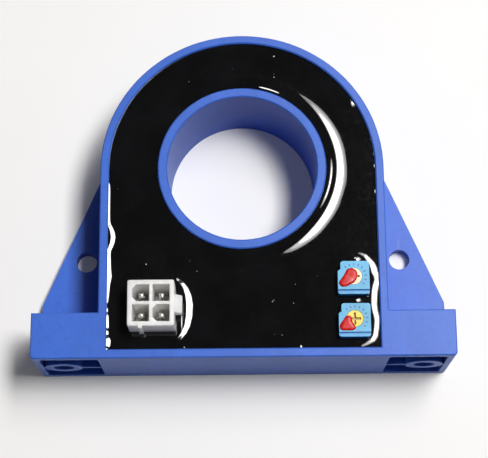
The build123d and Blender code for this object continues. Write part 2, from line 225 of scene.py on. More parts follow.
def triangulated(points, edges, segments):
    """Triangles inside the outline that the segments make, their corners' places and the given points they are."""
    places, _, triangles, origin, _, _ = delaunay_2d_cdt([Vector(p) for p in points], edges, [], 0, TOUCHING)
    places = np.array(places)
    triangles = np.array([t for t in triangles if len(t) == 3])
    return triangles[inside(places[triangles].mean(1), segments)], places, origin


def without_slivers(triangles, rim):
    """The triangles but for those of no width outside the rim, which have an edge that no other triangle shares."""
    rim = {frozenset(edge) for edge in rim}
    while True:
        sides = [[frozenset(pair) for pair in combinations(t, 2)] for t in triangles.tolist()]
        uses = Counter(edge for edges in sides for edge in edges)
        kept = np.array([all(uses[edge] > 1 or edge in rim for edge in edges) for edges in sides])
        if kept.all():
            return triangles
        triangles = triangles[kept]


def fill_points(outline, segments, step, fine, fine_reach):
    """The corners of an outline and points inside it, in steps that are fine within fine_reach of the rim."""
    low, high = outline.min(0), outline.max(0)
    coarse, near = (grid[inside(grid, segments)] for grid in (hex_grid(low, high, step), hex_grid(low, high, fine)))
    gap = distance(near, segments)
    near = near[(gap > fine / 2) & (gap <= fine_reach)]
    return np.r_[outline, near, coarse[distance(coarse, segments) > fine_reach]]


SLOPE_STEP = 0.02  # the height is compared this far on both sides, in millimetres


def surface_normals(height, places):
    """Normals of the surface that a function for the height describes."""
    slopes = [(height(places + d) - height(places - d)) / (2 * SLOPE_STEP) for d in np.eye(2) * SLOPE_STEP]
    normals = np.c_[-slopes[0], -slopes[1], np.ones(len(places))]
    return normals / np.linalg.norm(normals, axis=1)[:, None]


def shaped_top(node, name, height, step, fine, fine_reach):
    """Copy of a node whose flat top becomes a surface: height gives its rise over the CAD's top, in millimetres."""
    bm, top = open_top(node, fine)
    rim = [e for e in bm.edges if e.is_boundary]
    corners = list(dict.fromkeys(v for e in rim for v in e.verts))
    number = {v: i for i, v in enumerate(corners)}
    outline = np.array([v.co.xy for v in corners]) / MM
    segments = np.array([[v.co.xy for v in e.verts] for e in rim]) / MM
    points = fill_points(outline, segments, step, fine, fine_reach)
    edges = [tuple(number[v] for v in e.verts) for e in rim]
    triangles, places, origin = triangulated(points, edges, segments)
    triangles = without_slivers(triangles, edges)
    rise = height(places)
    for face in bm.faces:
        face.smooth = False
    verts = {}
    for i in np.unique(triangles):
        known = [o for o in origin[i] if o < len(corners)]
        verts[i] = corners[known[0]] if known else bm.verts.new((*(places[i] * MM), 0))
        verts[i].co.z = (top + rise[i]) * MM
    for t in triangles:
        bm.faces.new([verts[i] for i in t]).smooth = True
    bm.verts.index_update()
    order = {verts[i].index: i for i in verts}
    mesh = mesh_of(bm, name)
    normals = surface_normals(height, places)
    custom = []
    for polygon in mesh.polygons:
        for loop in polygon.loop_indices:
            vertex = mesh.loops[loop].vertex_index
            custom.append(normals[order[vertex]] if polygon.use_smooth else polygon.normal)
    mesh.normals_split_custom_set(custom)
    return new_piece(name, mesh)


# Finishes

def feed(socket, value):
    """Link a socket to another one or give it a value."""
    if isinstance(value, bpy.types.NodeSocket):
        socket.id_data.links.new(value, socket)
    else:
        socket.default_value = value


def add_node(tree, kind, inputs=(), **settings):
    """A new node of a tree, with its settings made and its inputs fed."""
    node = tree.nodes.new(kind)
    for key, value in settings.items():
        setattr(node, key, value)
    for key, value in dict(inputs).items():
        feed(node.inputs[key], value)
    return node


class Finish:
    """A material whose nodes are added one after another and read Object coordinates."""

    def __init__(self, name):
        self.material = bpy.data.materials.new(name)
        self.material.use_nodes = True
        self.tree = self.material.node_tree
        self.shader = self.tree.nodes["Principled BSDF"]
        self.place = self.node("ShaderNodeTexCoord").outputs["Object"]

    def node(self, kind, inputs=(), **settings):
        return add_node(self.tree, kind, inputs, **settings)

    def set(self, **values):
        """Numbers and colours that are the same all over the surface."""
        for key, value in values.items():
            self.shader.inputs[key.replace("_", " ")].default_value = value
        return self

    def noise(self, size, detail=3.0, rough=0.5, stretch=None):
        """Noise with grains of a given size in millimetres."""
        place = self.place
        if stretch:
            place = self.node("ShaderNodeMapping", {"Vector": place, "Scale": stretch}).outputs[0]
        inputs = {"Vector": place, "Scale": 1 / (size * MM), "Detail": detail, "Roughness": rough}
        return self.node("ShaderNodeTexNoise", inputs).outputs["Fac"]

    def band(self, value, low, high, to_low=0.0, to_high=1.0):
        """A smooth step of a value between two limits."""
        inputs = {"Value": value, "From Min": low, "From Max": high, "To Min": to_low, "To Max": to_high}
        return self.node("ShaderNodeMapRange", inputs, interpolation_type="SMOOTHSTEP").outputs[0]

    def below(self, level, reach):
        """0 above a height in metres and 1 from a reach in millimetres under it."""
        z = self.node("ShaderNodeSeparateXYZ", {0: self.place}).outputs["Z"]
        return self.band(z, level - reach * MM, level, 1.0, 0.0)

    def math(self, operation, a, b):
        return self.node("ShaderNodeMath", {0: a, 1: b}, operation=operation).outputs[0]

    def mix(self, factor, a, b):
        """Colour a where the factor is 0 and b where it is 1."""
        node = self.node("ShaderNodeMix", {"Factor": factor}, data_type="RGBA")
        for socket, colour in zip([s for s in node.inputs if s.type == "RGBA"], (a, b)):
            feed(socket, colour)
        return next(s for s in node.outputs if s.type == "RGBA")

    def colour(self, value):
        feed(self.shader.inputs["Base Color"], value)
        return self

    def shaded(self, tone, colour, dark, light=1.0):
        """The colour, darker and lighter as a noise goes."""
        return self.colour(self.mix(self.band(tone, 0.3, 0.7), rgba(colour, dark), rgba(colour, light)))

    def roughness(self, grain, low, high, start=0.25, end=0.75):
        """Roughness from low to high as a noise goes from start to end."""
        feed(self.shader.inputs["Roughness"], self.band(grain, start, end, low, high))
        return self

    def bump(self, height, depth):
        """Relief of a given depth in millimetres."""
        before = self.shader.inputs["Normal"].links
        inputs = {"Height": height, "Distance": depth * MM, "Strength": 1.0}
        if before:
            inputs["Normal"] = before[0].from_socket
        feed(self.shader.inputs["Normal"], self.node("ShaderNodeBump", inputs).outputs[0])
        return self


def rgba(colour, gain=1.0):
    """An opaque colour, brighter or darker by a gain."""
    return (*[min(1.0, c * gain) for c in colour[:3]], 1.0)


def tinted(colour, other, share):
    """A colour with a share of another one in it."""
    return rgba([(1 - share) * a + share * b for a, b in zip(colour, other)])


def plain_finish(name, colour, rough, grain=0.4, depth=0.004, **values):
    """Moulded surface: a slow change of tone, and grain of a size and depth in millimetres."""
    finish = Finish(name).set(**values)
    finish.shaded(finish.noise(6.0, 4.0, 0.6), colour, 0.8)
    fine = finish.noise(grain, 4.0, 0.6)
    return finish.roughness(fine, rough * 0.8, min(1.0, rough * 1.2)).bump(fine, depth)


def housing_finish(colour):
    """Blue moulded plastic with a satin skin, flow marks and a few light rubs."""
    finish = Finish("blue_moulding").set(IOR=1.5, Specular_IOR_Level=0.2)
    flow = finish.noise(9.0, 5.0, 0.6, stretch=(1.0, 0.4, 1.0))
    tone = finish.mix(finish.band(flow, 0.25, 0.75), rgba(colour, 0.88), rgba(colour, 1.04))
    cloud = finish.noise(1.3, 4.0, 0.6)
    tone = finish.mix(finish.band(cloud, 0.5, 0.7, 0.0, 0.6), tone, rgba(colour, 0.82))
    rub = finish.noise(1.4, 6.0, 0.7, stretch=(1.0, 0.15, 0.6))
    pale = tinted(colour, (0.55, 0.55, 0.55), 0.4)
    finish.colour(finish.mix(finish.band(rub, 0.62, 0.78, 0.0, 0.35), tone, pale))
    grain = finish.noise(0.22, 4.0, 0.6)
    return finish.roughness(grain, 0.34, 0.48).bump(grain, 0.006).bump(finish.noise(2.5, 3.0), 0.02)


def epoxy_finish(colour, gloss):
    """Black epoxy with a wet shine and a faint haze."""
    finish = Finish("black_epoxy").set(IOR=1.6)
    finish.shaded(finish.noise(7.0, 4.0, 0.6), colour, 0.7, 1.2)
    return finish.roughness(finish.noise(1.1, 5.0, 0.6), gloss * 0.7, gloss * 1.6, 0.3, 0.8)


def nylon_finish(colour):
    """White nylon: slightly clear, with a dull fine skin."""
    finish = Finish("white_nylon").set(IOR=1.53, Specular_IOR_Level=0.35)
    finish.set(Subsurface_Weight=0.8, Subsurface_Scale=3.0 * MM, Subsurface_Radius=(1.0, 0.95, 0.9))
    finish.shaded(finish.noise(3.0, 3.0), colour, 0.93)
    grain = finish.noise(0.18, 3.0)
    return finish.roughness(grain, 0.38, 0.55).bump(grain, 0.004)


def metal_finish(name, colour, rough):
    """Plated metal with fine drawing marks."""
    finish = Finish(name).set(Metallic=1.0)
    marks = finish.noise(0.25, 5.0, 0.65, stretch=(1.0, 1.0, 0.12))
    return finish.shaded(marks, colour, 0.82).roughness(marks, rough * 0.7, rough * 1.3).bump(marks, 0.003)


def core_finish(colour):
    """Wound strip: thin bright turns round the bore."""
    finish = Finish("core_strip").set(Metallic=1.0)
    inputs = {"Vector": finish.place, "Scale": 1 / (0.6 * MM), "Distortion": 0.6}
    turns = finish.node("ShaderNodeTexWave", inputs, wave_type="RINGS", rings_direction="Z").outputs["Fac"]
    finish.colour(finish.mix(turns, rgba(colour, 0.45), rgba(colour)))
    return finish.roughness(turns, 0.55, 0.35, 0.0, 1.0).bump(turns, 0.02)


def board_finish(colour):
    """Green solder mask over copper, with the weave of the glass just showing."""
    finish = Finish("green_mask").set(Coat_Weight=0.4, Coat_Roughness=0.15)
    copper = finish.node("ShaderNodeTexBrick", {
        "Vector": finish.place, "Scale": 1 / (2.4 * MM), "Mortar Size": 0.18, "Color1": (1, 1, 1, 1),
        "Color2": (0.7, 0.7, 0.7, 1), "Mortar": (0, 0, 0, 1)}).outputs["Color"]
    weave = finish.node("ShaderNodeTexWave", {"Vector": finish.place, "Scale": 1 / (0.9 * MM)}).outputs["Fac"]
    finish.colour(finish.mix(copper, rgba(colour, 0.6), rgba(colour, 1.3)))
    return finish.roughness(weave, 0.3, 0.45, 0.0, 1.0).bump(weave, 0.004)


def painted_shade_finish(name, colour, painted_shade, level, reach, rough=0.36):
    """Moulded plastic with painted shade: it turns to a darker colour from a level in metres to a reach in millimetres
    under it.
    """
    finish = plain_finish(name, colour, rough, 0.3, 0.004, IOR=1.5, Specular_IOR_Level=0.3)
    skin = finish.shader.inputs["Base Color"].links[0].from_socket
    return finish.colour(finish.mix(finish.below(level, reach), skin, rgba(painted_shade)))


def lacquer_finish(colour):
    """Thick red lacquer, streaked where the brush left it thinner."""
    finish = Finish("red_lacquer").set(IOR=1.5, Specular_IOR_Level=0.22)
    streak = finish.noise(0.9, 4.0, 0.6, stretch=(1.0, 0.5, 1.0))
    thin = tinted(colour, (0.95, 0.06, 0.06), 0.4)
    warm = finish.mix(finish.band(finish.noise(0.5, 3.0), 0.4, 0.6), rgba(colour, 0.8), rgba(colour, 1.15))
    finish.colour(finish.mix(finish.band(streak, 0.52, 0.72), warm, thin))
    return finish.roughness(streak, 0.25, 0.45, 0.3, 0.7).bump(streak, 0.010)


# What a user would change

def setting(name, description, default, kind=FloatProperty, **more):
    return kind(name=name, description=description, default=default, **more)


def colour_setting(name, description, default):
    return setting(name, description, default, FloatVectorProperty, subtype="COLOR", size=3, min=0, max=1)


def length_setting(name, description, default):
    return setting(name, description, default, unit="LENGTH")


class HousingSettings(bpy.types.PropertyGroup):
    colour: colour_setting("Plastic colour", "Colour of the moulded housing", (0.040, 0.135, 0.595))
    edge: length_setting("Edge rounding", "Width of the rounding on the moulding's edges", 0.16 * MM)


class EpoxySettings(bpy.types.PropertyGroup):
    colour: colour_setting("Epoxy colour", "Colour of the potting", (0.0042, 0.0044, 0.0050))
    gloss: setting("Surface roughness", "Roughness of the wet surface", 0.045, min=0, max=1, subtype="FACTOR")
    ring_swell: setting("Swell at the bore", "How much the epoxy swells round the tube", 1.0, min=0, max=1.2)
    part_swell: setting("Swell at the parts", "How much it swells at header and trimmers", 1.0, min=0, max=1.5)
    specks: setting("Dust specks", "Number of loose specks on the epoxy", 9, IntProperty, min=0)
    speck_size: length_setting("Speck size", "Diameter of the largest speck", 0.20 * MM)


class HeaderSettings(bpy.types.PropertyGroup):
    colour: colour_setting("Nylon colour", "Colour of the header's shell", (0.90, 0.89, 0.875))
    pin_colour: colour_setting("Pin colour", "Colour of the tin on pins and leads", (0.80, 0.78, 0.73))
    edge: length_setting("Edge rounding", "Width of the rounding on shell and pins", 0.14 * MM)


class TrimmerSettings(bpy.types.PropertyGroup):
    colour: colour_setting("Case colour", "Colour of the trimmers' cases", (0.09, 0.43, 0.72))
    zero_colour: colour_setting("Zero rotor", "Colour of the zero trimmer's rotor", (0.93, 0.83, 0.58))
    span_colour: colour_setting("Span rotor", "Colour of the span trimmer's rotor", (0.97, 0.74, 0.10))
    lacquer_colour: colour_setting("Lacquer colour", "Colour of the seal lacquer", (0.54, 0.004, 0.004))
    lacquer_height: length_setting("Lacquer height", "Thickness of the seal at its middle", 0.32 * MM)
    ticks: setting("Dial marks", "Number of marks on each trimmer's dial", 9, IntProperty, min=2)
    edge: length_setting("Edge rounding", "Width of the rounding on cases and rotors", 0.07 * MM)


class StageSettings(bpy.types.PropertyGroup):
    lamp_radiance: setting("Lamp brightness", "Brightness of the soft lamp's face", 46.0, min=0)
    lamp_height: length_setting("Lamp height", "Height of the lamp over the floor", 1.0)
    floor_colour: colour_setting("Floor colour", "Colour of the paper floor", (0.87, 0.865, 0.865))
    floor_bounce: setting("Floor bounce", "How much light the floor throws back", 0.42, min=0, max=1)
    lens: setting("Lens", "Focal length of the camera, in millimetres", 110.44)


SETTINGS = {
    "sensor_housing": HousingSettings,
    "sensor_epoxy": EpoxySettings,
    "sensor_header": HeaderSettings,
    "sensor_trimmers": TrimmerSettings,
    "sensor_stage": StageSettings,
}


# Operators

class SENSOR_OT_housing(bpy.types.Operator):
    """Finish the moulded housing: rounded edges and blue plastic"""
    bl_idname = "current_sensor.housing"
    bl_label = "Housing"

    def execute(self, context):
        s = context.scene.sensor_housing
        rounded_copy("housing", "sensor", "blue_housing", s.edge, housing_finish(s.colour))
        return {"FINISHED"}


# The epoxy's shape, in millimetres and degrees. Each swell is a slope between two distances, with rounded ends.
LEVEL = -0.2  # open surface, from the CAD's level
GRID = (0.5, 0.22, 4)  # step of its mesh, fine step by the rims, and how far that reaches
# Swell round the tube: direction, slope, and the distances where it begins and ends
RING = ((-180, 0.1, 2.2, 3.3), (-90, 0.12, 2.3, 3.2), (-74, 0.15, 2.4, 3.2), (-64, 0.225, 2.38, 3.2),
        (-45, 0.19, 2, 3.5), (-20, 0.145, 2.15, 3.65), (0, 0.135, 2.35, 3.8), (25, 0.132, 2.25, 3.6),
        (40, 0.124, 2.35, 3.4), (60, 0.11, 2.7, 3.2), (90, 0.1, 2.5, 3.2), (180, 0.1, 2.2, 3.3))
RING_BLEND, RING_ROUND = 9, (0.1, 0.42)
# Lips by the tube: middle, half length, slope, distance, its drift per degree within limits, width
LIPS = ((-12, 17, 0.133, 0.98, 0.01, 0.3), (70.5, 10, 0.15, 0.62, 0, 0.36))
LIP_DRIFT, LIP_ROUND = (-40, 20), (0.06, 0.06)
# Swell along the left wall: y, and the distances where it begins and ends
WALL = ((-39, -0.2, 0.3), (-38.4, -0.1, 0.85), (-37.2, -0.1, 0.95), (-36.5, -0.2, 0.6), (-35.7, -0.3, 0.45),
        (-34.2, -0.3, 0.5), (-32.5, -0.4, 0.45), (-31, -0.4, 0.3), (-29, -0.5, 0.3), (-27.2, -0.3, 0.5),
        (-25.5, -0.3, 0.6), (-23.7, -0.3, 0.95), (-22, -0.3, 0.8), (-20.2, -0.3, 0.7), (-18.6, -0.3, 0.65),
        (-18, -0.2, 0.75), (-17.3, 0.12, 1.05), (-16.3, 0.46, 1.42), (-15.1, 0.62, 1.62), (-13.8, 0.42, 1.38),
        (-12.8, 0.05, 0.92), (-12.2, -0.3, 0.58), (-11.4, -0.3, 0.45), (-9.7, -0.4, 0.4), (-4.5, -0.4, 0.38),
        (-3.4, -0.5, 0.28), (-2, -0.8, -0.4), (0, -1, -0.6))
WALL_STEEP, WALL_REACH, WALL_BLEND, WALL_ROUND = 0.24, 6, 0.15, (0.06, 0.1)
WALL_BREAKS = ((-29.85, 0.45), (-31.5, 0.22), (-34.95, 0.22), (-36.35, 0.24))  # y, half length
# Swell beside the header: its edge on the latch side, y and its width there, slope at the front and at the back
HEADER_BOW = ((-13.9, -24.4), (-13.57, -24.81), (-12.97, -25.62), (-12.49, -26.48), (-12.07, -27.96), (-11.88, -29.8),
              (-11.94, -32.24), (-12.24, -34.19), (-12.83, -35.64), (-13.66, -36.84), (-14.4, -37.7))
HEADER_WIDE = ((-38.2, 0.1), (-37.3, 0.78), (-36.8, 0.9), (-36, 1), (-34.5, 1.15), (-32.2, 1.35), (-29.8, 1.4),
               (-28, 1.3), (-26.5, 1.12), (-25.4, 0.95), (-24.8, 0.8), (-23.8, 0.1))
HEADER_STEEP = ((-37, -25), (0.215, 0.185))
HEADER_ROUND = (0.08, 0.12)
# Thin line beside the latch: x, y of its middle, half length, slope, width
LATCH_LIP = (-12.9, -33.4, 1.9, 0.22, 0.22)
LATCH_ROUND = (0.04, 0.04)
# Swell round the trimmers: its edge, y and its width there
TRIMMER_EDGE = ((19.5, -20), (20.5, -19.4), (24.2, -19.15), (24.79, -19.33), (25.51, -19.72), (26.08, -20.64),
                (26.64, -21.48), (26.9, -22.4), (27.1, -23.4), (27.55, -24.2), (27.6, -24.97), (27.22, -26.03),
                (26.97, -27.23), (26.84, -28.73), (26.8, -30.22), (27, -31.6), (27.3, -32.77), (27.35, -33.66),
                (27.22, -35.14), (26.95, -36.62), (26.42, -37.5), (25.38, -38.23), (24.34, -38.8), (20.5, -38.9),
                (19.6, -38.5), (19.2, -37.6), (19.2, -21))
TRIMMER_WIDE = ((-39.6, 0), (-39, 0.3), (-38.4, 0.5), (-37.5, 0.72), (-33.5, 0.68), (-28.5, 0.92), (-22, 1),
                (-20.2, 0.7), (-19.2, 0.4), (-18.4, 0.1))
TRIMMER_STEEP, TRIMMER_ROUND = 0.12, (0.08, 0.1)
PART_BLEND = 0.3  # corners of the widths by header and trimmers are rounded over this
# Low bumps: place, reach along x and y, lift
DIMPLES = ((23.65, -20.4, 0.62, 0.36, 0.075), (23.45, -29.2, 0.62, 0.36, 0.075), (-12.5, -38.85, 0.32, 0.32, 0.06),
           (11.6, -38.9, 0.35, 0.35, 0.05), (23.6, 14.6, 0.7, 0.7, 0.08), (27.55, 6.4, 0.25, 0.25, 0.034),
           (28.05, 3.05, 0.3, 0.3, 0.042), (28.15, 0.2, 0.25, 0.25, 0.034), (28.1, -5.5, 0.25, 0.25, 0.036))
UNEVEN = 0.006  # height of the slow waves all over


def smooth_table(at, table, blend):
    """Values from a table whose first column is a place, with its corners rounded by an average over both sides."""
    places, *columns = np.array(table).T
    shifts = np.linspace(-blend, blend, 7)
    return [np.mean([np.interp(at + shift, places, column) for shift in shifts], axis=0) for column in columns]


def ramp(gap, steep, near, far, rounding):
    """Height of a slope that begins and ends at two distances and is level on both sides of them."""
    gap, steep, near, far = np.broadcast_arrays(gap, steep, near, far)
    wide = np.maximum(far - near, 0)
    at_near, at_far = rounding
    outer = at_far * np.logaddexp(0, (near + wide - gap) / at_far)
    inner = at_near * np.logaddexp(0, (near - gap) / at_near)
    return steep * (outer - inner)


def bell(distance_from_middle, half, power):
    """1 in the middle, falling to 0 past half a length on both sides."""
    return np.exp(-(distance_from_middle / half) ** power)


def signed_gap(points, outline):
    """Distance outside a closed outline, less than zero inside it."""
    segments = closed_segments(outline)
    return distance(points, segments) * np.where(inside(points, segments), -1, 1)


def header_swell_outline(left):
    """The header from its left side to the bow of the swell on its latch side."""
    return np.r_[[[left, HEADER_BOW[0][1]]], HEADER_BOW, [[left, HEADER_BOW[-1][1]]]]


def rim_groups(node):
    """The loops round the top face of a node, each as segments in millimetres, the widest first."""
    bm, _ = open_top(node, 1.0)
    left = {e for e in bm.edges if e.is_boundary}
    groups = []
    while left:
        group, queue = [], [left.pop()]
        while queue:
            edge = queue.pop()
            group.append([v.co.xy for v in edge.verts])
            for v in edge.verts:
                for other in v.link_edges:
                    if other in left:
                        left.remove(other)
                        queue.append(other)
        groups.append(np.array(group) / MM)
    bm.free()
    return sorted(groups, key=lambda g: -np.ptp(g[:, :, 0]))


def epoxy_surface(settings):
    """Height of the epoxy over its CAD level, from the edges that it wets."""
    wall, ring, *rest = rim_groups("potting_compound")
    header_edge = header_swell_outline(min(rest, key=lambda g: g[:, :, 0].mean())[:, :, 0].min())
    trimmer_edge = np.array(TRIMMER_EDGE)
    left_x = wall[:, :, 0].min()
    tube = np.hypot(ring[:, 0, 0], ring[:, 0, 1]).mean()
    ring_gain, part_gain = settings.ring_swell, settings.part_swell

    def height(p):
        x, y = p[:, 0], p[:, 1]
        turn = np.degrees(np.arctan2(y, x))
        gap = np.hypot(x, y) - tube
        steep, near, far = smooth_table(turn, RING, RING_BLEND)
        rise = LEVEL + ring_gain * ramp(gap, steep, near, far, RING_ROUND)
        for middle, half, steep, near, drift, wide in LIPS:
            near = near + drift * np.clip(turn, *LIP_DRIFT)
            rise += bell(turn - middle, half, 4) * ramp(gap, steep, near, near + wide, LIP_ROUND)
        near, far = smooth_table(y, WALL, WALL_BLEND)
        steep = WALL_STEEP * np.prod([1 - bell(y - at, half, 2) for at, half in WALL_BREAKS], axis=0)
        rise += np.where(x < left_x + WALL_REACH, ramp(x - left_x, steep, near, far, WALL_ROUND), 0)
        wide, = smooth_table(y, HEADER_WIDE, PART_BLEND)
        steep = np.interp(y, *HEADER_STEEP)
        rise += part_gain * ramp(signed_gap(p, header_edge), steep, 0, wide, HEADER_ROUND)
        wide, = smooth_table(y, TRIMMER_WIDE, PART_BLEND)
        rise += part_gain * ramp(signed_gap(p, trimmer_edge), TRIMMER_STEEP, 0, wide, TRIMMER_ROUND)
        at_x, middle, half, steep, wide = LATCH_LIP
        rise += bell(y - middle, half, 4) * ramp(x - at_x, steep, 0, wide, LATCH_ROUND)
        for at_x, at_y, reach_x, reach_y, lift in DIMPLES:
            rise += lift * bell(x - at_x, reach_x, 2) * bell(y - at_y, reach_y, 2)
        return rise + UNEVEN * np.sin(x * 0.55 + 0.3 * y) * np.sin(y * 0.47 + 1.0)

    return height


class SENSOR_OT_epoxy(bpy.types.Operator):
    """Pour the glossy epoxy, with its menisci at the tube, the walls, the header and the trimmers"""
    bl_idname = "current_sensor.epoxy"
    bl_label = "Epoxy"

    def execute(self, context):
        s = context.scene.sensor_epoxy
        piece = shaped_top("potting_compound", "epoxy_surface", epoxy_surface(s), *GRID)
        paint(piece, epoxy_finish(s.colour, s.gloss))
        place_on(piece, "sensor", "black_epoxy", "potting_compound")
        return {"FINISHED"}


def node_tree(name, **inputs):
    """Geometry Nodes tree with one geometry in and out and the named inputs: the tree, what comes in, the way out."""
    tree = bpy.data.node_groups.new(name, "GeometryNodeTree")
    tree.interface.new_socket("Geometry", in_out="INPUT", socket_type="NodeSocketGeometry")
    for label, kind in inputs.items():
        tree.interface.new_socket(label, in_out="INPUT", socket_type="NodeSocket" + kind)
    tree.interface.new_socket("Geometry", in_out="OUTPUT", socket_type="NodeSocketGeometry")
    return tree, tree.nodes.new("NodeGroupInput").outputs, tree.nodes.new("NodeGroupOutput").inputs[0]


def end_tree(tree, last, finish, out):
    """Make the repeats real, paint them and give them out."""
    real = add_node(tree, "GeometryNodeRealizeInstances", {"Geometry": last.outputs[0]})
    painted = add_node(tree, "GeometryNodeSetMaterial", {"Geometry": real.outputs[0], "Material": finish.material})
    feed(out, painted.outputs[0])
    return tree


def run_tree(piece, tree, values):
    """Give the piece the tree's result as its mesh."""
    modifier = piece.modifiers.new("Repeat", "NODES")
    modifier.node_group = tree
    names = {item.name: item.identifier for item in tree.interface.items_tree if item.in_out == "INPUT"}
    for label, value in values.items():
        modifier[names[label]] = value
    apply_modifiers(piece)


def speck_tree(finish):
    """A small lump on each vertex, turned and sized at random."""
    tree, given, out = node_tree("dust_specks", Size="Float", Seed="Int")
    lump = add_node(tree, "GeometryNodeMeshIcoSphere", {"Radius": 0.5, "Subdivisions": 1})
    seed = given["Seed"]
    size, turn = (
        add_node(tree, "FunctionNodeRandomValue", {0: low, 1: high, "Seed": seed}, data_type="FLOAT_VECTOR").outputs[0]
        for low, high in (((0.25, 0.25, 0.15), (1.0, 0.75, 0.4)), ((0, 0, 0), (0, 0, 2 * pi))))
    scale = add_node(tree, "ShaderNodeVectorMath", {0: size, "Scale": given["Size"]}, operation="SCALE")
    euler = add_node(tree, "FunctionNodeEulerToRotation", {"Euler": turn})
    places = add_node(tree, "GeometryNodeInstanceOnPoints", {
        "Points": given["Geometry"], "Instance": lump.outputs["Mesh"], "Scale": scale.outputs[0],
        "Rotation": euler.outputs[0]})
    return end_tree(tree, places, finish, out)


SPECK_GAP = 0.8  # specks keep this far from the rims, in millimetres
LARGE_SPECK = 2.4  # size of the large specks, in sizes of the others
# Large specks, where the photo shows some, in millimetres
SEEN_SPECKS = ((-20.32, -21.03), (-9.63, -22.65), (7.2, 25.53), (7.13, 20.63), (6.1, -29.3), (6.4, -29.0),
               (10.5, -29.7), (8.0, -36.4))


class SENSOR_OT_dust(bpy.types.Operator):
    """Scatter a few specks of dust on the epoxy"""
    bl_idname = "current_sensor.dust"
    bl_label = "Dust specks"

    def execute(self, context):
        s = context.scene.sensor_epoxy
        groups = rim_groups("potting_compound")
        segments = np.concatenate(groups)
        rng = np.random.default_rng(7)
        wall = groups[0].reshape(-1, 2)
        points = rng.uniform(wall.min(0), wall.max(0), (s.specks * 4, 2))
        points = points[inside(points, segments)]
        points = points[distance(points, segments) > SPECK_GAP][:s.specks]
        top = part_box("potting_compound")[1].z / MM
        height = epoxy_surface(s)
        tree = speck_tree(plain_finish("pale_dust", (0.72, 0.72, 0.70), 0.8, 0.1, 0.01))
        for name, places, size in (("dust_specks", points, 1.0), ("large_specks", np.array(SEEN_SPECKS), LARGE_SPECK)):
            mesh = bpy.data.meshes.new(name)
            mesh.from_pydata([(*p, h) for p, h in zip(places * MM, (top + height(places)) * MM)], [], [])
            piece = new_piece(name, mesh)
            run_tree(piece, tree, {"Size": s.speck_size * size, "Seed": 3})
            place_on(piece, "sensor", "black_epoxy")
        return {"FINISHED"}


class SENSOR_OT_header(bpy.types.Operator):
    """Finish the white header and its four pins"""
    bl_idname = "current_sensor.header"
    bl_label = "Header and pins"

    def execute(self, context):
        s = context.scene.sensor_header
        rounded_copy("header_shell", "sensor", "white_nylon", s.edge, nylon_finish(s.colour))
        tin = metal_finish("tinned_pin", s.pin_colour, 0.26)
        for node in sorted(n for n in NODES if n.startswith("header_pin_")):
            rounded_copy(node, "sensor", "tinned_lead", s.edge / 2, tin)
        return {"FINISHED"}


def tick_tree(finish):
    """Short bars along an arc, each pointing at the arc's centre."""
    tree, given, out = node_tree(
        "dial_marks", Count="Int", Radius="Float", First="Float", Sweep="Float", Bar="Vector", Centre="Vector")
    arc = add_node(tree, "GeometryNodeCurveArc", {
        "Resolution": given["Count"], "Radius": given["Radius"],
        "Start Angle": given["First"], "Sweep Angle": given["Sweep"]}, mode="RADIUS")
    points = add_node(tree, "GeometryNodeCurveToPoints", {"Curve": arc.outputs["Curve"]}, mode="EVALUATED")
    bar = add_node(tree, "GeometryNodeMeshCube", {"Size": given["Bar"]})
    place = add_node(tree, "GeometryNodeInputPosition")
    facing = add_node(tree, "FunctionNodeAlignRotationToVector", {"Vector": place.outputs[0]}, axis="X", pivot_axis="Z")
    bars = add_node(tree, "GeometryNodeInstanceOnPoints", {
        "Points": points.outputs["Points"], "Instance": bar.outputs["Mesh"], "Rotation": facing.outputs[0]})
    moved = add_node(tree, "GeometryNodeTransform", {"Geometry": bars.outputs[0], "Translation": given["Centre"]})
    return end_tree(tree, moved, finish, out)


# Outlines of the lacquer dabs, from the rotor's axis, in millimetres
DABS = {
    "zero": ((-0.5, 1.72), (0.22, 1.48), (0.71, 0.88), (0.79, 0.12), (0.6, -0.63), (-0.01, -1.37), (-0.75, -1.81),
             (-1.49, -2.18), (-2.45, -2.24), (-2.95, -1.85), (-3.1, -1.34), (-2.76, -0.74), (-2.23, 0), (-1.77, 0.75),
             (-1.31, 1.5)),
    "span": ((-1.01, 0.64), (-0.66, 0.2), (-0.54, -0.55), (-0.12, -1.29), (0.15, -1.88), (-0.16, -2.35),
             (-0.89, -2.52), (-1.9, -2.52), (-2.75, -2.45), (-3.1, -2.1), (-3.15, -1.5), (-2.9, -0.9), (-2.5, -0.38),
             (-2.1, 0.21), (-1.62, 0.57)),
}
DAB_CRACK = (1.765, 1.785)  # the dab is broken between these radii
DAB_EDGE = 0.03  # its thickness at the edge
DAB_SHOULDER = 0.8  # distance over which it rises
DAB_GRID = (0.09, 0.05)  # step of its mesh, and how far that keeps from the edge and the crack
DAB_CURVE = 6  # steps of its outline from corner to corner
CRACK_STEPS = 96  # steps round the crack
DAB_SHARP = radians(50)  # its edges that turn by more than this are sharp
# Dial marks: radius, angle of the first one and of all, length, width and height, height of their middle
DIAL_RADIUS, DIAL_FIRST, DIAL_SWEEP = 2.55 * MM, radians(-38), radians(168)
DIAL_BAR, DIAL_LIFT = (0.5 * MM, 0.25 * MM, 0.03 * MM), 0.01 * MM
CASE_CORNER = 0.55 * MM  # rounding of the case's upright corners
CASE_PAINTED_SHADE, CASE_SHADE = (0.012, 0.19, 0.56), (0.12 * MM, 0.24)  # painted shade low down on the case, in its slots and on its sides: the darker colour, from what depth under the top, over what reach
# Painted shade on the rotors below their top, in the slot: the darker colour, from what depth, over what reach
ROTOR_PAINTED_SHADE, ROTOR_SHADE = (0.42, 0.28, 0.05), (0.15 * MM, 0.5)
INK = (0.02, 0.12, 0.33)


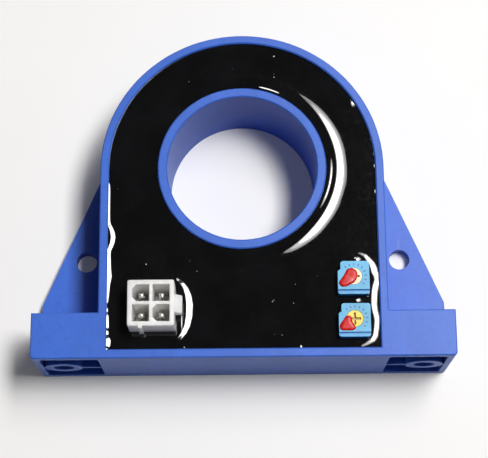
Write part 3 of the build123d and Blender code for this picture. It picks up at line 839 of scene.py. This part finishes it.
def round_loop(corners):
    """Closed smooth curve through the corners."""
    corners = np.array(corners)
    before, after, beyond = (np.roll(corners, k, 0) for k in (1, -1, -2))
    steps = np.linspace(0, 1, DAB_CURVE, endpoint=False)[None, :, None]
    a, b, c, d = (part[:, None] for part in (before, corners, after, beyond))
    curve = 0.5 * (2 * b + (c - a) * steps + (2 * a - 5 * b + 4 * c - d) * steps ** 2
                   + (3 * b - a - 3 * c + d) * steps ** 3)
    return curve.reshape(-1, 2)


def dab_halves(outline, axis, rise):
    """The two halves of a dab of lacquer, on the case and on the rotor: closed meshes with a domed top."""
    outline = round_loop(outline)
    turns = np.linspace(0, 2 * pi, CRACK_STEPS, endpoint=False)
    circles = [np.c_[np.cos(turns), np.sin(turns)] * radius for radius in DAB_CRACK]
    segments = closed_segments(outline)
    step, gap = DAB_GRID
    grid = hex_grid(outline.min(0), outline.max(0), step)
    grid = grid[inside(grid, segments)]
    grid = grid[(distance(grid, segments) > gap) & (abs(np.hypot(*grid.T) - sum(DAB_CRACK) / 2) > gap)]
    loops, edges, count = [outline, *circles], [], 0
    for loop in loops:
        edges += [(count + i, count + (i + 1) % len(loop)) for i in range(len(loop))]
        count += len(loop)
    points = np.concatenate([*loops, grid])
    triangles, flat, _ = triangulated(points, edges, segments)
    radius = np.hypot(*flat[triangles].mean(1).T)
    share = np.clip(distance(flat, segments) / DAB_SHOULDER, 0, 1)
    wobble = 0.94 + 0.06 * np.sin(flat[:, 0] * 2.3 + 1.0) * np.sin(flat[:, 1] * 1.9 + 0.4)
    height = DAB_EDGE + rise * np.sqrt(share * (2 - share)) * wobble
    halves = []
    for half in (triangles[radius > DAB_CRACK[1]], triangles[radius < DAB_CRACK[0]]):
        bm = bmesh.new()
        foot = {i: bm.verts.new((axis.x + flat[i, 0] * MM, axis.y + flat[i, 1] * MM, axis.z)) for i in np.unique(half)}
        top = {i: bm.verts.new((*v.co.xy, axis.z + height[i] * MM)) for i, v in foot.items()}
        for a, b, c in half:
            bm.faces.new((top[a], top[b], top[c]))
            bm.faces.new((foot[c], foot[b], foot[a]))
        sides = {(a, b) for t in half for a, b in zip(t, np.roll(t, -1))}
        for a, b in sides:
            if (b, a) not in sides:
                bm.faces.new((foot[a], foot[b], top[b], top[a]))
        bmesh.ops.recalc_face_normals(bm, faces=bm.faces)
        halves.append(bm)
    return halves


def rotor_axis(name):
    """Centre of a trimmer's rotor at its head."""
    mesh = NODES[name + "_rotor"].data
    top = max(v.co.z for v in mesh.vertices)
    head = [v.co for v in mesh.vertices if top - v.co.z < SAME_LEVEL]
    low = Vector((min(v.x for v in head), min(v.y for v in head), top))
    high = Vector((max(v.x for v in head), max(v.y for v in head), top))
    return (low + high) / 2


def add_dial(name, axis, count, tree):
    """Dial marks on a trimmer's case."""
    dial = new_piece(name + "_dial", bpy.data.meshes.new(name + "_dial"))
    run_tree(dial, tree, {
        "Count": count, "Radius": DIAL_RADIUS, "First": DIAL_FIRST, "Sweep": DIAL_SWEEP, "Bar": DIAL_BAR,
        "Centre": (axis.x, axis.y, axis.z + DIAL_LIFT)})
    place_on(dial, "sensor", "trimmer_blue")


def add_seal(which, axis, rise, finish):
    """The dab of lacquer on a trimmer, in two halves."""
    halves = dab_halves(DABS[which], axis, rise)
    for part, body, bm in zip(("case", "rotor"), ("sensor", which + "_rotor"), halves):
        node = f"{which}_trimmer_{part}_lacquer"
        mesh = mesh_of(bm, node + "_finish")
        mesh.shade_smooth()
        mesh.set_sharp_from_angle(angle=DAB_SHARP)
        piece = new_piece(mesh.name, mesh)
        paint(piece, finish)
        place_on(piece, body, "red_lacquer", node)


class SENSOR_OT_trimmers(bpy.types.Operator):
    """Finish the two trimmers: cases, dial marks, rotors and the red seal lacquer"""
    bl_idname = "current_sensor.trimmers"
    bl_label = "Trimmers"

    def execute(self, context):
        s = context.scene.sensor_trimmers
        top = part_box("zero_trimmer_case")[1].z
        depth, reach = CASE_SHADE
        # The case's slots and sides are darkened below its top: painted shade.
        case = painted_shade_finish("trimmer_blue", s.colour, CASE_PAINTED_SHADE, top - depth, reach, 0.32)
        ink = plain_finish("dial_ink", INK, 0.5, 0.2, 0.002)
        lacquer = lacquer_finish(s.lacquer_colour)
        colours = {"zero": s.zero_colour, "span": s.span_colour}
        tree = tick_tree(ink)
        depth, reach = ROTOR_SHADE
        for which in TRIMMERS:
            name = which + "_trimmer"
            rounded_copy(name + "_case", "sensor", "trimmer_blue", s.edge, case, CASE_CORNER)
            # Each rotor is darkened below its top: painted shade.
            rotor = painted_shade_finish(which + "_rotor_plastic", colours[which], ROTOR_PAINTED_SHADE, top - depth, reach)
            rounded_copy(name + "_rotor", which + "_rotor", "rotor_cream", s.edge, rotor)
            axis = rotor_axis(name)
            add_dial(name, axis, s.ticks, tree)
            add_seal(which, axis, s.lacquer_height / MM, lacquer)
        return {"FINISHED"}


# Hidden parts: how their nodes' names begin or end, and the kind, name, colour and roughness of their finish
HIDDEN = (
    ("hall_chip", plain_finish, "moulded_chip", (0.02, 0.02, 0.022), 0.5),  # the chip and its leads
    ("can_capacitor", metal_finish, "can_aluminium", (0.78, 0.79, 0.80), 0.35),
    ("diode", plain_finish, "diode_black", (0.025, 0.025, 0.028), 0.45),
    ("amplifier_chip", plain_finish, "chip_black", (0.02, 0.02, 0.022), 0.45),
    ("voltage_regulator", plain_finish, "regulator_black", (0.022, 0.022, 0.022), 0.5),
    ("chip_resistors", plain_finish, "resistor_glaze", (0.03, 0.03, 0.035), 0.25),
    ("chip_capacitors", plain_finish, "capacitor_tan", (0.46, 0.30, 0.17), 0.4),
    ("base", plain_finish, "trimmer_ceramic", (0.72, 0.70, 0.66), 0.6),
    ("track", plain_finish, "resistive_track", (0.03, 0.03, 0.03), 0.4),
    ("wiper", metal_finish, "spring_brass", (0.72, 0.52, 0.22), 0.3),
)


class SENSOR_OT_inside(bpy.types.Operator):
    """Give every part inside the potting and the trimmers its own finish"""
    bl_idname = "current_sensor.inside"
    bl_label = "Parts inside"

    def execute(self, context):
        finishes = {
            "pins": metal_finish("tinned_lead", context.scene.sensor_header.pin_colour, 0.3),
            "magnetic_core": core_finish((0.50, 0.50, 0.52)),
            "circuit_board": board_finish((0.01, 0.16, 0.06)),
        }
        finishes.update((key, kind(*values)) for key, kind, *values in HIDDEN)
        for node, piece in NODES.items():
            if piece.hide_render:
                continue
            key = next((k for k in finishes if node.startswith(k) or node.endswith("_" + k)), None)
            if key is None:
                raise RuntimeError(f"no finish for {node}")
            paint(piece, finishes[key])
        return {"FINISHED"}


PAPER_GLOW = (0.93, 0.925, 0.93, 1)
GLOW_SHARE = 0.04  # share of the glow in what is seen of the paper


def floor_finish(colour, bounce):
    """White paper that keeps the shadow and shows as the pale background, and throws less light back up."""
    finish = Finish("paper_floor")
    path = finish.node("ShaderNodeLightPath")
    seen = finish.math("MAXIMUM", path.outputs["Is Camera Ray"], path.outputs["Is Glossy Ray"])
    seen = finish.math("MAXIMUM", seen, path.outputs["Is Transmission Ray"])
    tone = finish.noise(40.0, 3.0)
    paper = finish.mix(finish.band(tone, 0.3, 0.7), rgba(colour, 0.985), rgba(colour))
    finish.colour(finish.mix(seen, (bounce, bounce, bounce, 1), paper))
    finish.roughness(finish.noise(0.5), 0.8, 0.95, 0.3, 0.7)
    glow = finish.node("ShaderNodeEmission", {"Color": PAPER_GLOW, "Strength": 1.0})
    share = finish.math("MULTIPLY", seen, GLOW_SHARE)
    blend = finish.node("ShaderNodeMixShader", {0: share, 1: finish.shader.outputs[0], 2: glow.outputs[0]})
    feed(finish.tree.nodes["Material Output"].inputs["Surface"], blend.outputs[0])
    return finish


# The soft lamp is brightest over the front. Strips that only gloss shows make it longer, fade out beside it and light
# the lip at the top of the tube. Each strip: name, the slopes (x / z and y / z) of the rays from the bore to its sides,
# share of the lamp's brightness, whether it lights matte skin
LAMPS = (
    ("soft_lamp_front", (0.239, 0.468), (-0.09, 0.16), 1.0, True),
    ("soft_lamp_middle", (0.239, 0.468), (0.16, 0.30), 0.6, True),
    ("soft_lamp_back", (0.239, 0.468), (0.30, 0.576), 0.28, True),
    ("gloss_front", (0.239, 0.468), (-0.109, -0.09), 1.0, False),
    ("gloss_middle", (0.239, 0.468), (0.16, 0.30), 0.3, False),
    ("gloss_back", (0.239, 0.468), (0.30, 0.576), 0.45, False),
    ("gloss_lip", (-0.02, 0.20), (0.62, 0.72), 0.5, False),
    ("lamp_veil_near", (0.185, 0.239), (-0.10, 0.545), 0.235, False),
    ("lamp_veil_far", (0.142, 0.185), (-0.10, 0.545), 0.122, False),
)
ABOVE = 0.004  # strips that light only gloss hang this much higher, so that rays meet both
LAMP_COLOUR = (1.0, 0.985, 0.965)
ROOM_COLOUR = (1.0, 0.99, 0.98, 1)
ROOM = {"From Min": 0.25, "From Max": 0.85, "To Min": 0.23, "To Max": 0.03}  # height of the ray, brightness
BACKDROP = 0.95  # brightness where the camera looks past the floor
FLOOR_HALF = 3.0
EYE, EYE_TURN = (0.37 * MM, -99.34 * MM, 324.1 * MM), (0.2748, 0.0028, -0.0091)


def studio_world():
    """Dark overhead so that the epoxy stays black, pale towards the horizon, white where the camera looks past."""
    world = bpy.data.worlds.new("studio")
    bpy.context.scene.world = world
    world.use_nodes = True
    tree = world.node_tree
    place = tree.nodes.new("ShaderNodeTexCoord").outputs["Generated"]
    split = add_node(tree, "ShaderNodeSeparateXYZ", {0: place})
    room = add_node(tree, "ShaderNodeMapRange", {"Value": split.outputs["Z"], **ROOM}, interpolation_type="SMOOTHSTEP")
    seen = tree.nodes.new("ShaderNodeLightPath").outputs["Is Camera Ray"]
    pick = add_node(tree, "ShaderNodeMix", {"Factor": seen, "A": room.outputs[0], "B": BACKDROP})
    sky = tree.nodes["Background"]
    feed(sky.inputs["Color"], ROOM_COLOUR)
    feed(sky.inputs["Strength"], pick.outputs[0])


class SENSOR_OT_stage(bpy.types.Operator):
    """Set the pale floor, the soft lamp, the room and the camera"""
    bl_idname = "current_sensor.stage"
    bl_label = "Stage"

    def execute(self, context):
        s = context.scene.sensor_stage
        mesh = bpy.data.meshes.new("floor")
        corners = ((-1, -1), (1, -1), (1, 1), (-1, 1))
        mesh.from_pydata([(x * FLOOR_HALF, y * FLOOR_HALF, CAD_BOX[0].z) for x, y in corners], [], [(0, 1, 2, 3)])
        floor = new_piece("floor", mesh)
        paint(floor, floor_finish(s.floor_colour, s.floor_bounce))
        for name, across, along, share, lights in LAMPS:
            lamp = bpy.data.lights.new(name, "AREA")
            lamp.shape = "RECTANGLE"
            lamp.size = (across[1] - across[0]) * s.lamp_height
            lamp.size_y = (along[1] - along[0]) * s.lamp_height
            lamp.energy = share * s.lamp_radiance * pi * lamp.size * lamp.size_y
            lamp.color = LAMP_COLOUR
            holder = new_piece(name, lamp)
            holder.visible_diffuse = lights
            height = s.lamp_height if lights else s.lamp_height + ABOVE
            holder.location = (sum(across) / 2 * height, sum(along) / 2 * height, height)
        studio_world()
        camera = bpy.data.cameras.new("camera")
        camera.lens = s.lens
        camera.sensor_width = 36.0
        camera.clip_start = 0.01
        eye = new_piece("camera", camera)
        eye.location, eye.rotation_euler = EYE, EYE_TURN
        context.scene.camera = eye
        context.scene.view_settings.view_transform = "Standard"
        return {"FINISHED"}


STEPS = (SENSOR_OT_housing, SENSOR_OT_epoxy, SENSOR_OT_dust, SENSOR_OT_header, SENSOR_OT_trimmers,
         SENSOR_OT_inside, SENSOR_OT_stage)


class SENSOR_PT_panel(bpy.types.Panel):
    """Settings and steps of the current sensor"""
    bl_idname = "SENSOR_PT_panel"
    bl_label = "Current sensor"
    bl_space_type = "VIEW_3D"
    bl_region_type = "UI"
    bl_category = "Current Sensor"

    def draw(self, context):
        for name, group in SETTINGS.items():
            box = self.layout.box()
            box.label(text=name.replace("_", " ").capitalize())
            for label in group.__annotations__:
                box.prop(getattr(context.scene, name), label)
        for step in STEPS:
            self.layout.operator(step.bl_idname)


CLASSES = (*SETTINGS.values(), *STEPS, SENSOR_PT_panel)


def register():
    for cls in CLASSES:
        bpy.utils.register_class(cls)
    for name, group in SETTINGS.items():
        setattr(bpy.types.Scene, name, PointerProperty(type=group))


def unregister():
    for name in SETTINGS:
        delattr(bpy.types.Scene, name)
    for cls in reversed(CLASSES):
        bpy.utils.unregister_class(cls)


def main():
    register()
    for step in STEPS:
        group, name = step.bl_idname.split(".")
        getattr(getattr(bpy.ops, group), name)()


if __name__ == "__main__":
    main()
